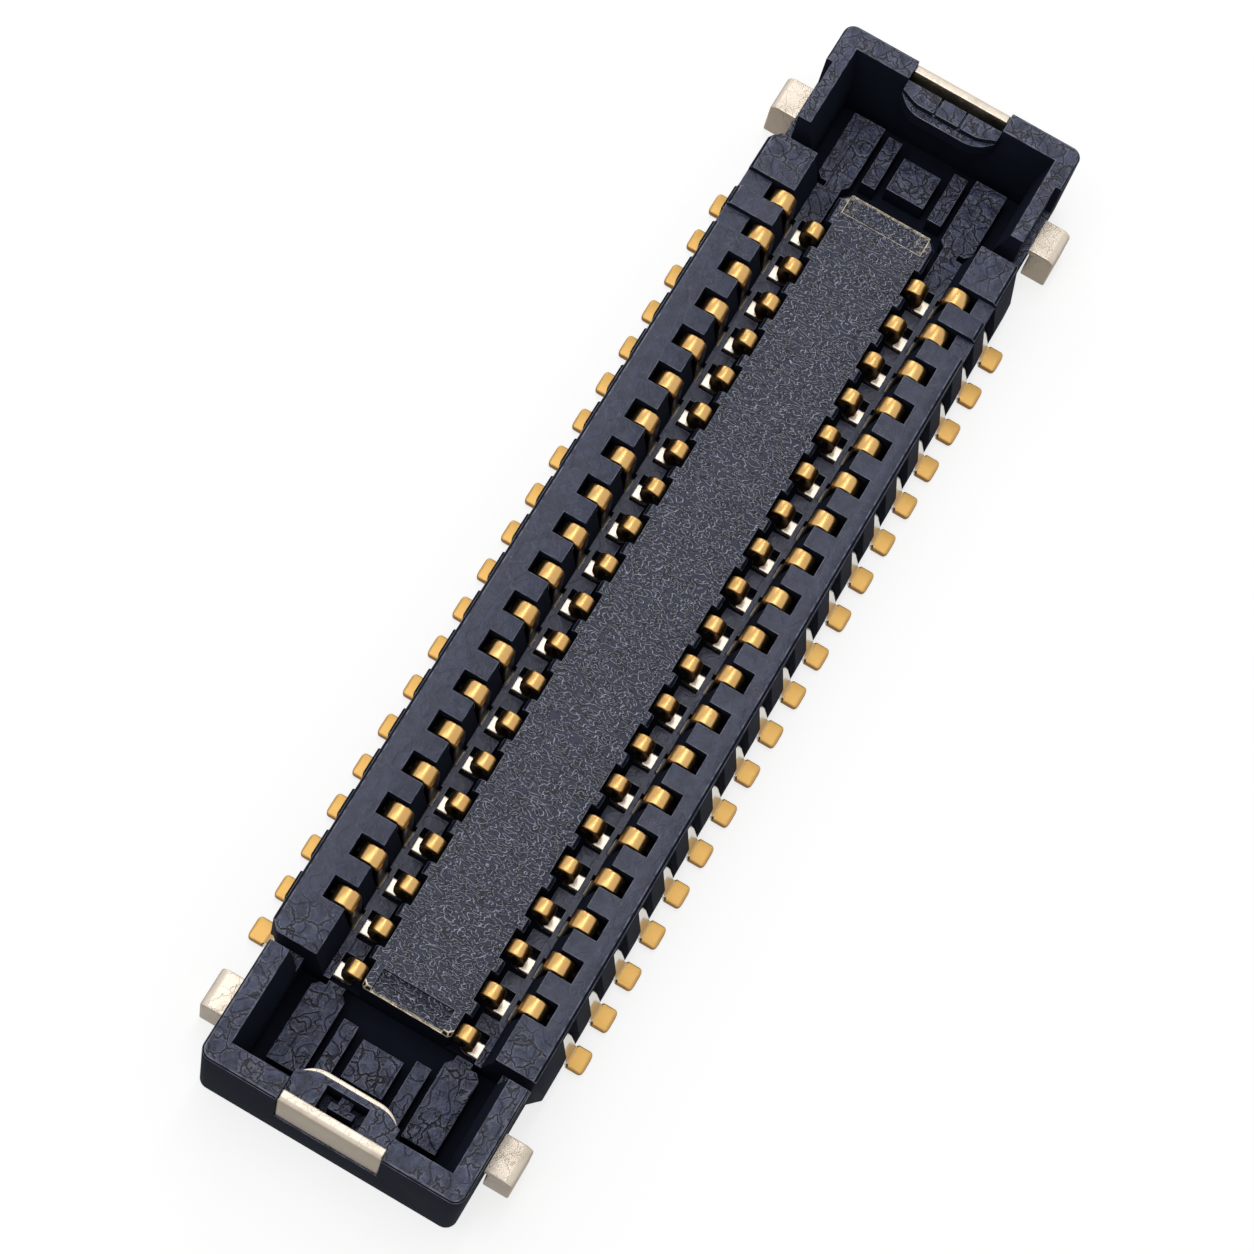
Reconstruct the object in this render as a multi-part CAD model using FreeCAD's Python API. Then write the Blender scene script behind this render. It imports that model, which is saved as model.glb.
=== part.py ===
import FreeCAD, Part
import math
import os

# Board to board connector, receptacle half. Millimetres. X runs along the length, Y across it and Z up from
# the circuit board, and the origin is on the board under the middle of the body. "Near" is the -X end, "far"
# the +X end, "left" the +Y row and "right" the -Y row.

# Overall body. The end margin runs from the last window's centre to the body's end.
END_MARGIN = 1.7
BODY_WIDTH = 2.31
RIM_TOP = 0.95
WALL_DROP = 0.18
STANDOFF = 0.02
CORNER_RADIUS = 0.1
EDGE_ROUND = 0.02

# Rows of windows and contacts
PITCH = 0.4
WINDOW_COUNT = 19
WINDOW_WIDTH = 0.2
WINDOW_MARGIN = 0.15
COVER_THICKNESS = 0.22

# Side walls between the two ends, and the groove beside each
WALL_FLARE = 0.01
LEFT_WALL_FLARE = 0.085
WALL_THICKNESS = 0.365
WALL_EDGE_CHAMFER = 0.03
FOOT_FLARE = 0.095
FOOT_TOP = 0.3
GROOVE_LEDGE_WIDTH = 0.085
GROOVE_SLOPE_DROP = 0.09
RECESS_DEPTH = 0.06
RECESS_COUNT = 2
NOTCH_DROP = 0.07
CHANNEL_TOP = 0.4
HOOD_REACH = 0.06
HOOD_WIDTH = 0.25
HOOD_RISE = 0.04
HOOD_BOTTOM = 0.1

# Rims around the end pockets
RIM_LENGTH = 1.054
RIM_GAP = 0.12
RIM_GAP_DEPTH = 0.3
RIM_SIDE_WALL = 0.18
RIM_END_WALL = 0.205
LEAD_IN_RUN = 0.08
LEAD_IN_DEPTH = 0.35
FLANK_SETBACK = 0.06
FLANK_LENGTH = 0.62
FLANK_SLOPE = 0.08

# Floor, ribs and pocket tiles
FLOOR_THICKNESS = 0.1
SEAT_RISE = 0.07
TILE_RISE = 0.2
RIB_SETBACK = 0.06
RIB_WIDTH = 0.15
RIB_SLOT_WIDTH = 0.263
TILE_SETBACK = 0.135
TILE_WIDTH = 0.305
TILE_GAP = 0.39
TILE_LENGTH = 0.73
TILE_CORNER = 0.05
SLAT_GAP = 0.059
SLAT_WIDTH = 0.136
SLAT_START = 0.155
SLAT_LENGTH = 0.53
CENTRE_TILE_WIDTH = 0.368
CENTRE_TILE_START = 0.22
CENTRE_TILE_LENGTH = 0.35

# Centre island
ISLAND_SETBACK = 0.031
ISLAND_GAP = 0.035
ISLAND_TOP = 0.52
ISLAND_CORNER = 0.09
ISLAND_SLOT_WIDTH = 0.28
ISLAND_SLOT_DEPTH = 0.067
TOOTH_CHAMFER = 0.03
END_STEP_LENGTH = 0.21
END_STEP_DEPTH = 0.03
END_STEP_MARGIN_NEAR = 0.15
END_STEP_MARGIN_FAR = 0.09

# Pad over each end wall, with the slot or hole beside the metal bar
PAD_WIDTH = 0.92
PAD_DROP = 0.05
PAD_REACH = 0.365
PAD_SIDE_REACH = 0.01
PAD_UNDERLAY = 0.05
PAD_NOSE_WIDTH = 0.6
PAD_GAP = 0.08
PAD_SLAB = 0.2
PAD_GROOVE_WIDTH = 0.02
PAD_GROOVE_DEPTH = 0.04
PAD_MIDDLE_WIDTH = 0.22
PAD_NOSE_RADIUS = 0.2
PAD_HOLE_WIDTH = 0.37
PAD_HOLE_FLOOR = 0.12
PAD_NOTCH_WIDTH = 0.16
PAD_NOTCH_LENGTH = 0.05
PAD_HOLE_LENGTH = 0.2
LATCH_HEAD_WIDTH = 0.22
LATCH_HEAD_LENGTH = 0.06
LATCH_STEM_WIDTH = 0.11
LATCH_DROP = 0.1
LATCH_HEIGHT = 0.2

# Hold-down plates
PLATE = 0.07
BAR_THICKNESS = 0.095
BAR_SETBACK = 0.015
BAR_DROP = 0.02
BAR_BEVEL = 0.03
WEB_BOTTOM = 0.41
WEB_THICKNESS = 0.08
LIP_DROP = 0.06
LIP_HEIGHT = 0.08
LIP_THICKNESS = 0.05
LIP_SKIN = 0.02
STRAP_BOTTOM = 0.3
TAB_SETBACK = 0.632
TAB_LENGTH = 0.345
TAB_OVERHANG = 0.25
TAB_TOP = 0.44
TAB_THICKNESS = 0.08
TAB_LEG_GAP = 0.02
TAB_CLEARANCE = 0.03
TAB_BEND = 0.08

# Contact strip
STRIP = 0.07
STRIP_WIDTH = 0.165
ARM_WIDTH = 0.138
TAIL_WIDTH = 0.21
TAIL_LENGTH = 0.17
TAIL_CORNER = 0.03
TRIMMED_FOOT_SETBACK = 0.05
LEG_MARGIN = 0.08
LEG_RISE = 0.03
OUTER_ARCH_DROP = 0.025
OUTER_ARCH_SPAN = 0.15
COVERED_ARCH_DROP = 0.06
COVERED_ARCH_SPAN = 0.115
COVERED_ARCH_RADIUS = 0.055
COVERED_SHIFT = 0.06
ARM_LEAN = 0.02
BOTTOM_SHIFT = 0.005
INNER_ARCH_RISE = 0.035
INNER_ARCH_LEAN = 0.065
INNER_ARCH_BEND_Z = 0.36
INNER_ARCH_SPAN = 0.115
TIP_LENGTH = 0.14
TAIL_BEND_RADIUS = 0.06
LEG_BEND_RADIUS = 0.05
OUTER_ARCH_RADIUS = 0.07
BOTTOM_RADIUS = 0.045
ARM_BEND_RADIUS = 0.055
INNER_ARCH_RADIUS = 0.055

# Clearances
SLOT_CLEARANCE = 0.02
RUN_OUT = 1.0

# Lengths and widths that follow from the sizes above
HALF_LENGTH = (WINDOW_COUNT - 1) / 2 * PITCH + END_MARGIN
HALF_WIDTH = BODY_WIDTH / 2
WALL_END = HALF_LENGTH - RIM_LENGTH - RIM_GAP
RIM_START = HALF_LENGTH - RIM_LENGTH
POCKET_X = HALF_LENGTH - RIM_END_WALL
POCKET_Y = HALF_WIDTH - RIM_SIDE_WALL
TILE_END = HALF_LENGTH - TILE_GAP
TILE_START = TILE_END - TILE_LENGTH
ISLAND_END = WALL_END - ISLAND_SETBACK
BAR_OUTER_X = HALF_LENGTH - BAR_SETBACK
BAR_INNER_X = BAR_OUTER_X - BAR_THICKNESS
PAD_NOSE_X = HALF_LENGTH - PAD_REACH
PAD_SHOULDER_X = POCKET_X - LEAD_IN_RUN - PAD_SIDE_REACH
STRAP_END_X = HALF_LENGTH - (RIM_END_WALL + PLATE) / 2
STRAP_SIDE_Y = HALF_WIDTH - (RIM_SIDE_WALL + PLATE) / 2
TAB_START_X = HALF_LENGTH - TAB_SETBACK - TAB_LENGTH / 2
TAB_REACH_Y = HALF_WIDTH + TAB_OVERHANG
WALL_OUTER_Y = HALF_WIDTH + WALL_FLARE
LEFT_WALL_OUTER_Y = HALF_WIDTH + LEFT_WALL_FLARE
WALL_INNER_Y = WALL_OUTER_Y - WALL_THICKNESS
FOOT_OUTER_Y = HALF_WIDTH + FOOT_FLARE
WINDOW_OUTER_Y = HALF_WIDTH - WINDOW_MARGIN
GROOVE_LEDGE_Y = WALL_INNER_Y - GROOVE_LEDGE_WIDTH
RIB_OUTER_Y = GROOVE_LEDGE_Y - RIB_SETBACK
RIB_INNER_Y = RIB_OUTER_Y - RIB_WIDTH
TILE_OUTER_Y = POCKET_Y - LEAD_IN_RUN - TILE_SETBACK
TILE_INNER_Y = TILE_OUTER_Y - TILE_WIDTH
SLAT_INNER_Y = TILE_INNER_Y - SLAT_GAP - SLAT_WIDTH
ISLAND_SIDE_Y = RIB_INNER_Y - ISLAND_GAP
TAIL_NECK_Y = FOOT_OUTER_Y + SLOT_CLEARANCE
TAIL_REACH_Y = FOOT_OUTER_Y + TAIL_LENGTH
TAIL_BEND_Y = FOOT_OUTER_Y - BOTTOM_SHIFT
LEG_Y = WINDOW_OUTER_Y - LEG_MARGIN
ARM_TOP_Y = LEG_Y - OUTER_ARCH_SPAN
ARM_FOOT_Y = ARM_TOP_Y - ARM_LEAN
ARM_SLOT_Y = ARM_FOOT_Y - STRIP / 2 - SLOT_CLEARANCE
COVERED_LEG_Y = LEG_Y + COVERED_SHIFT
COVERED_ARM_Y = COVERED_LEG_Y - COVERED_ARCH_SPAN
TRIMMED_FOOT_Y = WALL_OUTER_Y - TRIMMED_FOOT_SETBACK
BOTTOM_INNER_Y = RIB_INNER_Y - BOTTOM_SHIFT
INNER_ARCH_Y = BOTTOM_INNER_Y + INNER_ARCH_LEAN

# Heights that follow from the sizes above
WALL_TOP = RIM_TOP - WALL_DROP
COVERED_CAVITY_TOP = WALL_TOP - COVER_THICKNESS
FLOOR_TOP = STANDOFF + FLOOR_THICKNESS
SEAT_TOP = FLOOR_TOP + SEAT_RISE
TILE_TOP = FLOOR_TOP + TILE_RISE
HOOD_TOP = FOOT_TOP + HOOD_RISE
PAD_TOP = RIM_TOP - PAD_DROP
LATCH_TOP = PAD_TOP - LATCH_DROP
BAR_TOP = RIM_TOP - BAR_DROP
LIP_TOP = PAD_TOP - LIP_DROP
WEB_TOP = WEB_BOTTOM + WEB_THICKNESS
OUTER_ARCH_TOP = WALL_TOP - OUTER_ARCH_DROP
COVERED_ARCH_TOP = COVERED_CAVITY_TOP - COVERED_ARCH_DROP
INNER_ARCH_TOP = ISLAND_TOP + INNER_ARCH_RISE

# Places of the windows along the rows, and of the covered contact before the first of them
WINDOW_X = [(index - (WINDOW_COUNT - 1) / 2) * PITCH for index in range(WINDOW_COUNT)]
COVERED_X = WINDOW_X[0] - PITCH


def vector(x, y, z):
    return FreeCAD.Vector(x, y, z)


def box(x, y, z):
    """Block between the low and high value of each pair."""
    return Part.makeBox(x[1] - x[0], y[1] - y[0], z[1] - z[0], vector(x[0], y[0], z[0]))


def upright(points, z):
    """Straight prism whose plan is the closed polygon of (x, y) points, between the two heights of z."""
    corners = [vector(x, y, z[0]) for x, y in points]
    face = Part.Face(Part.makePolygon(corners + corners[:1]))
    return face.extrude(vector(0, 0, z[1] - z[0]))


def lengthwise(points, x):
    """Straight prism whose section is the closed polygon of (y, z) points, between the two places of x."""
    corners = [vector(x[0], y, z) for y, z in points]
    face = Part.Face(Part.makePolygon(corners + corners[:1]))
    return face.extrude(vector(x[1] - x[0], 0, 0))


def placed(shape, end, side):
    """The shape made for the far end and left row, mirrored to the asked end and side."""
    if end < 0:
        shape = shape.mirror(vector(0, 0, 0), vector(1, 0, 0))
    if side < 0:
        shape = shape.mirror(vector(0, 0, 0), vector(0, 1, 0))
    return shape


def joined(shapes):
    return shapes[0].multiFuse(shapes[1:]).removeSplitter()


def lead_in():
    """Pocket inside the rims: a rectangle that narrows evenly from the rim's top, then drops straight."""
    def outline(x, y, z):
        return Part.makePolygon([vector(-x, -y, z), vector(x, -y, z), vector(x, y, z), vector(-x, y, z),
                                 vector(-x, -y, z)])

    low_x = POCKET_X - LEAD_IN_RUN
    low_y = POCKET_Y - LEAD_IN_RUN
    bottom = RIM_TOP - LEAD_IN_DEPTH
    mouth = Part.makeLoft([outline(low_x, low_y, bottom), outline(POCKET_X, POCKET_Y, RIM_TOP)], True, True)
    return mouth.fuse(box((-low_x, low_x), (-low_y, low_y), (FLOOR_TOP, bottom)))


def rounded_body():
    """The outer block up to the rims' top, with its upright corners and top edges rounded."""
    body = box((-HALF_LENGTH, HALF_LENGTH), (-HALF_WIDTH, HALF_WIDTH), (STANDOFF, RIM_TOP))
    corners = [edge for edge in body.Edges if abs(edge.Vertexes[0].Z - edge.Vertexes[1].Z) > EDGE_ROUND]
    body = body.makeFillet(CORNER_RADIUS, corners)
    top = [edge for edge in body.Edges if edge.BoundBox.ZMin > RIM_TOP - EDGE_ROUND]
    return body.makeChamfer(EDGE_ROUND, top)


def rims():
    """Both end rims and the low link between each rim and its side walls, around the open pocket."""
    body = rounded_body().cut(lead_in())
    link_top = WALL_TOP - RIM_GAP_DEPTH
    body = body.cut(box((-RIM_START, RIM_START), (-RUN_OUT - HALF_WIDTH, RUN_OUT + HALF_WIDTH),
                        (link_top, RIM_TOP + RUN_OUT)))
    for side in (1, -1):
        body = body.cut(placed(flank_recess(), 1, side))
    return body


def flank_recess():
    """Shallow recess of the far rim's outer side, beside the metal tab, with a sloped end."""
    face = HALF_WIDTH - FLANK_SETBACK
    end = RIM_START + FLANK_LENGTH
    points = [(RIM_START - RIM_GAP, face), (end, face), (end + FLANK_SLOPE, HALF_WIDTH + RUN_OUT),
              (RIM_START - RIM_GAP, HALF_WIDTH + RUN_OUT)]
    return upright(points, (WEB_TOP + TAB_CLEARANCE, RIM_TOP + RUN_OUT))


def side_wall(top_y):
    """Wall between the ends, on the left: sloped towards the groove, and out from top_y to a wider foot."""
    section = [(RIB_OUTER_Y, STANDOFF), (RIB_OUTER_Y, TILE_TOP), (GROOVE_LEDGE_Y, TILE_TOP),
               (WALL_INNER_Y, WALL_TOP - GROOVE_SLOPE_DROP), (WALL_INNER_Y, WALL_TOP),
               (top_y - WALL_EDGE_CHAMFER, WALL_TOP), (top_y, WALL_TOP - WALL_EDGE_CHAMFER),
               (FOOT_OUTER_Y, FOOT_TOP), (FOOT_OUTER_Y, STANDOFF)]
    wall = lengthwise(section, (-WALL_END, WALL_END))
    return wall.common(wall_plan())


def wall_plan():
    """Plan of the left wall, with its outer corners cut at 45 degrees down to the width of the ends."""
    step = FOOT_OUTER_Y - HALF_WIDTH
    points = [(-WALL_END, 0), (WALL_END, 0), (WALL_END, HALF_WIDTH), (WALL_END - step, FOOT_OUTER_Y),
              (-WALL_END + step, FOOT_OUTER_Y), (-WALL_END, HALF_WIDTH)]
    return upright(points, (0, RIM_TOP))


def hood(x):
    """Small hood of the left wall's foot over one solder tail."""
    half = HOOD_WIDTH / 2
    outer = FOOT_OUTER_Y + HOOD_REACH
    root = FOOT_OUTER_Y - STRIP
    section = [(root, HOOD_BOTTOM), (outer, HOOD_BOTTOM), (outer, HOOD_TOP - HOOD_REACH),
               (FOOT_OUTER_Y, HOOD_TOP), (root, HOOD_TOP)]
    return lengthwise(section, (x - half, x + half))


def contact_channel(x):
    """Room for one left contact: window in the wall's top, tunnel under the groove, slot between the ribs."""
    half = WINDOW_WIDTH / 2
    slot = RIB_SLOT_WIDTH / 2
    window = box((x - half, x + half), (ARM_SLOT_Y, WINDOW_OUTER_Y), (SEAT_TOP, RIM_TOP))
    tunnel = box((x - half, x + half), (ISLAND_SIDE_Y, WINDOW_OUTER_Y),
                 (SEAT_TOP, SEAT_TOP + STRIP + SLOT_CLEARANCE))
    between_ribs = box((x - slot, x + slot), (ISLAND_SIDE_Y, RIB_OUTER_Y), (SEAT_TOP, RIM_TOP))
    return window.fuse([tunnel, between_ribs])


def covered_channel():
    """Room for the covered left contact, whose cavity stays inside the end block."""
    half = WINDOW_WIDTH / 2
    room = STRIP / 2 + SLOT_CLEARANCE
    across = (COVERED_ARM_Y - ARM_LEAN - room, COVERED_LEG_Y + room)
    cavity = box((COVERED_X - half, COVERED_X + half), across, (SEAT_TOP, COVERED_CAVITY_TOP))
    open_channel = contact_channel(COVERED_X)
    low = box((-HALF_LENGTH, HALF_LENGTH), (0, HALF_WIDTH), (0, SEAT_TOP + STRIP + SLOT_CLEARANCE))
    groove = box((-HALF_LENGTH, HALF_LENGTH), (0, RIB_OUTER_Y), (0, RIM_TOP))
    return cavity.fuse([open_channel.common(low), open_channel.common(groove)])


def notched_way_out(x):
    """Open way of a leg out of the left wall: a hole at the foot and a notch in the flared face above it."""
    half = WINDOW_WIDTH / 2
    outer = FOOT_OUTER_Y + RUN_OUT
    under = box((x - half, x + half), (WINDOW_OUTER_Y - STRIP, outer), (0, CHANNEL_TOP))
    return under.fuse(box((x - half, x + half), (WALL_OUTER_Y, outer), (0, WALL_TOP - NOTCH_DROP)))


def hooded_way_out(x):
    """Way of a leg out of the left wall whose roof slopes down close to the leg, under a hood."""
    half = WINDOW_WIDTH / 2
    inner = WINDOW_OUTER_Y - STRIP
    outer = FOOT_OUTER_Y + RUN_OUT
    low = STRIP + SLOT_CLEARANCE
    section = [(inner, 0), (outer, 0), (outer, low), (FOOT_OUTER_Y + STRIP / 2, low),
               (WALL_OUTER_Y + STRIP / 2, CHANNEL_TOP), (inner, CHANNEL_TOP)]
    return lengthwise(section, (x - half, x + half))


def trimmed_way_out(x):
    """Blind hole for the trimmed leg, which ends inside the left wall."""
    half = WINDOW_WIDTH / 2
    return box((x - half, x + half), (WINDOW_OUTER_Y - STRIP, TRIMMED_FOOT_Y + SLOT_CLEARANCE),
               (FOOT_TOP - STRIP, CHANNEL_TOP))


def outer_recess(x, depth):
    """Shallow recess of the wall's top between one window and the outer edge."""
    half = WINDOW_WIDTH / 2
    across = (WINDOW_OUTER_Y - STRIP, FOOT_OUTER_Y + RUN_OUT)
    return box((x - half, x + half), across, (WALL_TOP - depth, RIM_TOP))


def ribs():
    """Left row of low ribs: one long bar that the contact channels cut into ribs."""
    return box((-TILE_START, TILE_START), (RIB_INNER_Y, RIB_OUTER_Y), (STANDOFF, TILE_TOP))


def pocket_tiles():
    """Raised tiles of the far pocket's floor, on the left of the middle, and the centre tile."""
    start, end, corner = TILE_START, TILE_END, TILE_CORNER
    tile = upright([(start, TILE_INNER_Y + corner), (start + corner, TILE_INNER_Y), (end, TILE_INNER_Y),
                    (end, TILE_OUTER_Y), (start + corner, TILE_OUTER_Y), (start, TILE_OUTER_Y - corner)],
                   (STANDOFF, TILE_TOP))
    slat_start = TILE_START + SLAT_START
    slat = box((slat_start, slat_start + SLAT_LENGTH), (SLAT_INNER_Y, SLAT_INNER_Y + SLAT_WIDTH),
               (STANDOFF, TILE_TOP))
    centre_start = TILE_START + CENTRE_TILE_START
    centre = box((centre_start, centre_start + CENTRE_TILE_LENGTH),
                 (-CENTRE_TILE_WIDTH / 2, CENTRE_TILE_WIDTH / 2), (STANDOFF, TILE_TOP))
    return [tile, slat, centre]


def island():
    """Long centre island: cut corners, a lower step at each end and a comb of slots along both sides."""
    x, y, cut = ISLAND_END, ISLAND_SIDE_Y, ISLAND_CORNER
    plan = [(x - cut, y), (x, y - cut), (x, cut - y), (x - cut, -y),
            (cut - x, -y), (-x, cut - y), (-x, y - cut), (cut - x, y)]
    block = upright(plan, (STANDOFF, ISLAND_TOP))
    long_edges = [edge for edge in block.Edges if edge.BoundBox.ZMin > ISLAND_TOP - TOOTH_CHAMFER]
    block = block.makeChamfer(TOOTH_CHAMFER, long_edges)
    for end, margin in ((1, END_STEP_MARGIN_FAR), (-1, END_STEP_MARGIN_NEAR)):
        step = box((x - END_STEP_LENGTH, x + RUN_OUT), (margin - y, y - margin),
                   (ISLAND_TOP - END_STEP_DEPTH, ISLAND_TOP + RUN_OUT))
        block = block.cut(placed(step, end, 1))
    half = ISLAND_SLOT_WIDTH / 2
    slot = (y - ISLAND_SLOT_DEPTH, y + RUN_OUT)
    slots = [placed(box((place - half, place + half), slot, (SEAT_TOP, ISLAND_TOP + RUN_OUT)), 1, side)
             for place in [COVERED_X] + WINDOW_X for side in (1, -1)]
    return block.cut(slots)


def pad_plan(grow):
    """Plan of the pad over the far end wall, its nose's corners cut. grow widens it towards the pocket."""
    half = PAD_WIDTH / 2
    nose = PAD_NOSE_WIDTH / 2 + grow / 2
    return [(HALF_LENGTH, half), (PAD_SHOULDER_X, half), (PAD_NOSE_X - grow, nose),
            (PAD_NOSE_X - grow, -nose), (PAD_SHOULDER_X, -half), (HALF_LENGTH, -half)]


def pad_block(grow, heights):
    """Upright block with the pad's plan, the corners of its nose rounded."""
    block = upright(pad_plan(grow), heights)
    nose = [edge for edge in block.Edges
            if edge.BoundBox.ZLength > SLOT_CLEARANCE and edge.BoundBox.XMax < PAD_NOSE_X + SLOT_CLEARANCE]
    return block.makeFillet(PAD_NOSE_RADIUS + grow, nose)


def lip_front(end):
    """Plastic in front of the pad: a step clear of the floor at the far end, the lip's skin at the near."""
    if end > 0:
        return pad_block(PLATE, (PAD_TOP - PAD_SLAB, LIP_TOP))
    return pad_block(LIP_THICKNESS, (WEB_BOTTOM - PAD_UNDERLAY, LIP_TOP - LIP_HEIGHT))


def end_pad(end):
    """Pad of an end wall. The far one stands clear of the metal bar, the near one has a latch in a hole."""
    pad = pad_block(0, (WEB_BOTTOM, PAD_TOP)).fuse(lip_front(end))
    if end > 0:
        inner_wall = POCKET_X - LEAD_IN_RUN
        below = (WEB_BOTTOM - RUN_OUT, PAD_TOP - PAD_SLAB)
        pad = pad.cut(box((0, inner_wall), (-PAD_WIDTH, PAD_WIDTH), below))
    outer = box((BAR_INNER_X, HALF_LENGTH + RUN_OUT), (-PAD_WIDTH, PAD_WIDTH), (WEB_BOTTOM, RIM_TOP))
    pad = pad.cut(outer)
    if end > 0:
        cuts = [box((BAR_INNER_X - PAD_GAP, BAR_INNER_X), (-PAD_WIDTH, PAD_WIDTH), (WEB_TOP, RIM_TOP))]
        for side in (1, -1):
            across = (PAD_MIDDLE_WIDTH / 2, PAD_MIDDLE_WIDTH / 2 + PAD_GROOVE_WIDTH)
            groove = box((PAD_NOSE_X, HALF_LENGTH), across, (PAD_TOP - PAD_GROOVE_DEPTH, RIM_TOP))
            cuts.append(placed(groove, 1, side))
        return pad.cut(cuts)
    hole_end = BAR_INNER_X - PAD_HOLE_LENGTH
    hole = box((hole_end, BAR_INNER_X), (-PAD_HOLE_WIDTH / 2, PAD_HOLE_WIDTH / 2),
               (WEB_TOP + PAD_HOLE_FLOOR, RIM_TOP))
    notch = box((BAR_INNER_X - PAD_NOTCH_LENGTH, BAR_INNER_X), (-PAD_NOTCH_WIDTH / 2, PAD_NOTCH_WIDTH / 2),
                (WEB_TOP, RIM_TOP))
    head_start = BAR_INNER_X - PAD_HOLE_LENGTH / 2 - LATCH_HEAD_LENGTH / 2
    latch = (LATCH_TOP - LATCH_HEIGHT, LATCH_TOP)
    stem = box((hole_end - SLOT_CLEARANCE, head_start + LATCH_HEAD_LENGTH),
               (-LATCH_STEM_WIDTH / 2, LATCH_STEM_WIDTH / 2), (latch[0], latch[1] - SLOT_CLEARANCE))
    head = box((head_start, head_start + LATCH_HEAD_LENGTH), (-LATCH_HEAD_WIDTH / 2, LATCH_HEAD_WIDTH / 2),
               latch)
    return pad.cut([hole, notch]).fuse([stem, head]).mirror(vector(0, 0, 0), vector(1, 0, 0))


def housing(metal):
    """The one-piece moulding, with its floor, made round the two metal plates."""
    whole_plan = box((-HALF_LENGTH, HALF_LENGTH), (-HALF_WIDTH, HALF_WIDTH), (STANDOFF, FLOOR_TOP))
    floor = rounded_body().common(whole_plan)
    inner = POCKET_Y - LEAD_IN_RUN
    seat = box((-ISLAND_END, ISLAND_END), (-inner, inner), (STANDOFF, SEAT_TOP))
    notch = box((ISLAND_END, HALF_LENGTH + RUN_OUT), (-PAD_WIDTH / 2, PAD_WIDTH / 2),
                (WEB_BOTTOM, RIM_TOP + RUN_OUT))
    shell = rims().cut([placed(notch, end, 1) for end in (1, -1)])
    solids = [shell, floor, seat, island()] + [end_pad(end) for end in (1, -1)]
    for side in (1, -1):
        wall = side_wall(LEFT_WALL_OUTER_Y if side > 0 else WALL_OUTER_Y)
        solids += [placed(piece, 1, side) for piece in (wall, ribs())]
        for end in (1, -1):
            solids += [placed(tile, end, side) for tile in pocket_tiles()]
    solids += [hood(x) for x in WINDOW_X]
    body = joined(solids)
    cuts = []
    for side in (1, -1):
        covered_way = hooded_way_out(COVERED_X) if side > 0 else trimmed_way_out(COVERED_X)
        cuts += [placed(piece, 1, side) for piece in (covered_channel(), covered_way)]
        for index, x in enumerate(WINDOW_X):
            way = hooded_way_out(x) if side > 0 else notched_way_out(x)
            cuts += [placed(piece, 1, side) for piece in (contact_channel(x), way)]
            if index >= WINDOW_COUNT - RECESS_COUNT:
                cuts.append(placed(outer_recess(x, RECESS_DEPTH), 1, side))
    body = body.cut(cuts)
    return body.cut(metal).removeSplitter()


def hold_down(end):
    """One folded plate: end bar, strap in the walls, two board tabs, at the near end also web and lip."""
    half = PAD_WIDTH / 2
    bar = box((BAR_INNER_X, BAR_OUTER_X), (-half, half), (WEB_BOTTOM, BAR_TOP))
    top = [edge for edge in bar.Edges
           if edge.BoundBox.ZMin > BAR_TOP - BAR_BEVEL and edge.BoundBox.XMin > BAR_INNER_X]
    bar = bar.makeChamfer(BAR_BEVEL, top)
    behind_bar = box((0, BAR_OUTER_X), (-half, half), (WEB_BOTTOM, WEB_TOP))
    web = pad_block(LIP_THICKNESS - LIP_SKIN, (WEB_BOTTOM, WEB_TOP)).common(behind_bar)
    across = box((STRAP_END_X, STRAP_END_X + PLATE), (-STRAP_SIDE_Y - PLATE, STRAP_SIDE_Y + PLATE),
                 (STRAP_BOTTOM, WEB_TOP))
    pieces = [bar, across]
    if end < 0:
        pieces += [web] + lip()
    for side in (1, -1):
        leg = box((TAB_START_X, STRAP_END_X + PLATE), (STRAP_SIDE_Y, STRAP_SIDE_Y + PLATE),
                  (STRAP_BOTTOM, WEB_TOP))
        pieces += [placed(leg, 1, side), placed(board_tab(), 1, side)]
    return placed(joined(pieces), end, 1)


def lip():
    """Metal lip round the pad's nose: a band in the open, on a riser that the plastic skin covers."""
    band = pad_block(LIP_THICKNESS, (LIP_TOP - LIP_HEIGHT, LIP_TOP)).cut(pad_block(0, (0, RIM_TOP)))
    half = PAD_NOSE_WIDTH / 3
    riser_outer_x = PAD_NOSE_X - LIP_THICKNESS + LIP_SKIN
    riser = box((riser_outer_x, riser_outer_x + PLATE), (-half, half), (WEB_BOTTOM, LIP_TOP - LIP_HEIGHT))
    return [band, riser]


def board_tab():
    """Left board tab: flat on top, rounded over its outer edge and solid down to the board."""
    inner = HALF_WIDTH + TAB_LEG_GAP
    low = TAB_TOP - TAB_THICKNESS
    section = [(STRAP_SIDE_Y, low), (inner, low), (inner, 0), (TAB_REACH_Y, 0), (TAB_REACH_Y, TAB_TOP),
               (STRAP_SIDE_Y, TAB_TOP)]
    tab = lengthwise(section, (TAB_START_X, TAB_START_X + TAB_LENGTH))
    bend = [edge for edge in tab.Edges
            if edge.BoundBox.YMin > TAB_REACH_Y - PLATE / 2 and edge.BoundBox.ZMin > TAB_TOP / 2]
    return tab.makeFillet(TAB_BEND, bend)


def rail_edges(groups):
    """Edges of one side of a strip: a line between neighbouring groups, an arc through each group of 3."""
    edges = []
    for before, after in zip(groups, groups[1:]):
        edges.append(Part.makeLine(before[-1], after[0]))
        if len(after) == 3:
            edges.append(Part.Arc(*after).toShape())
    return edges


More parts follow.
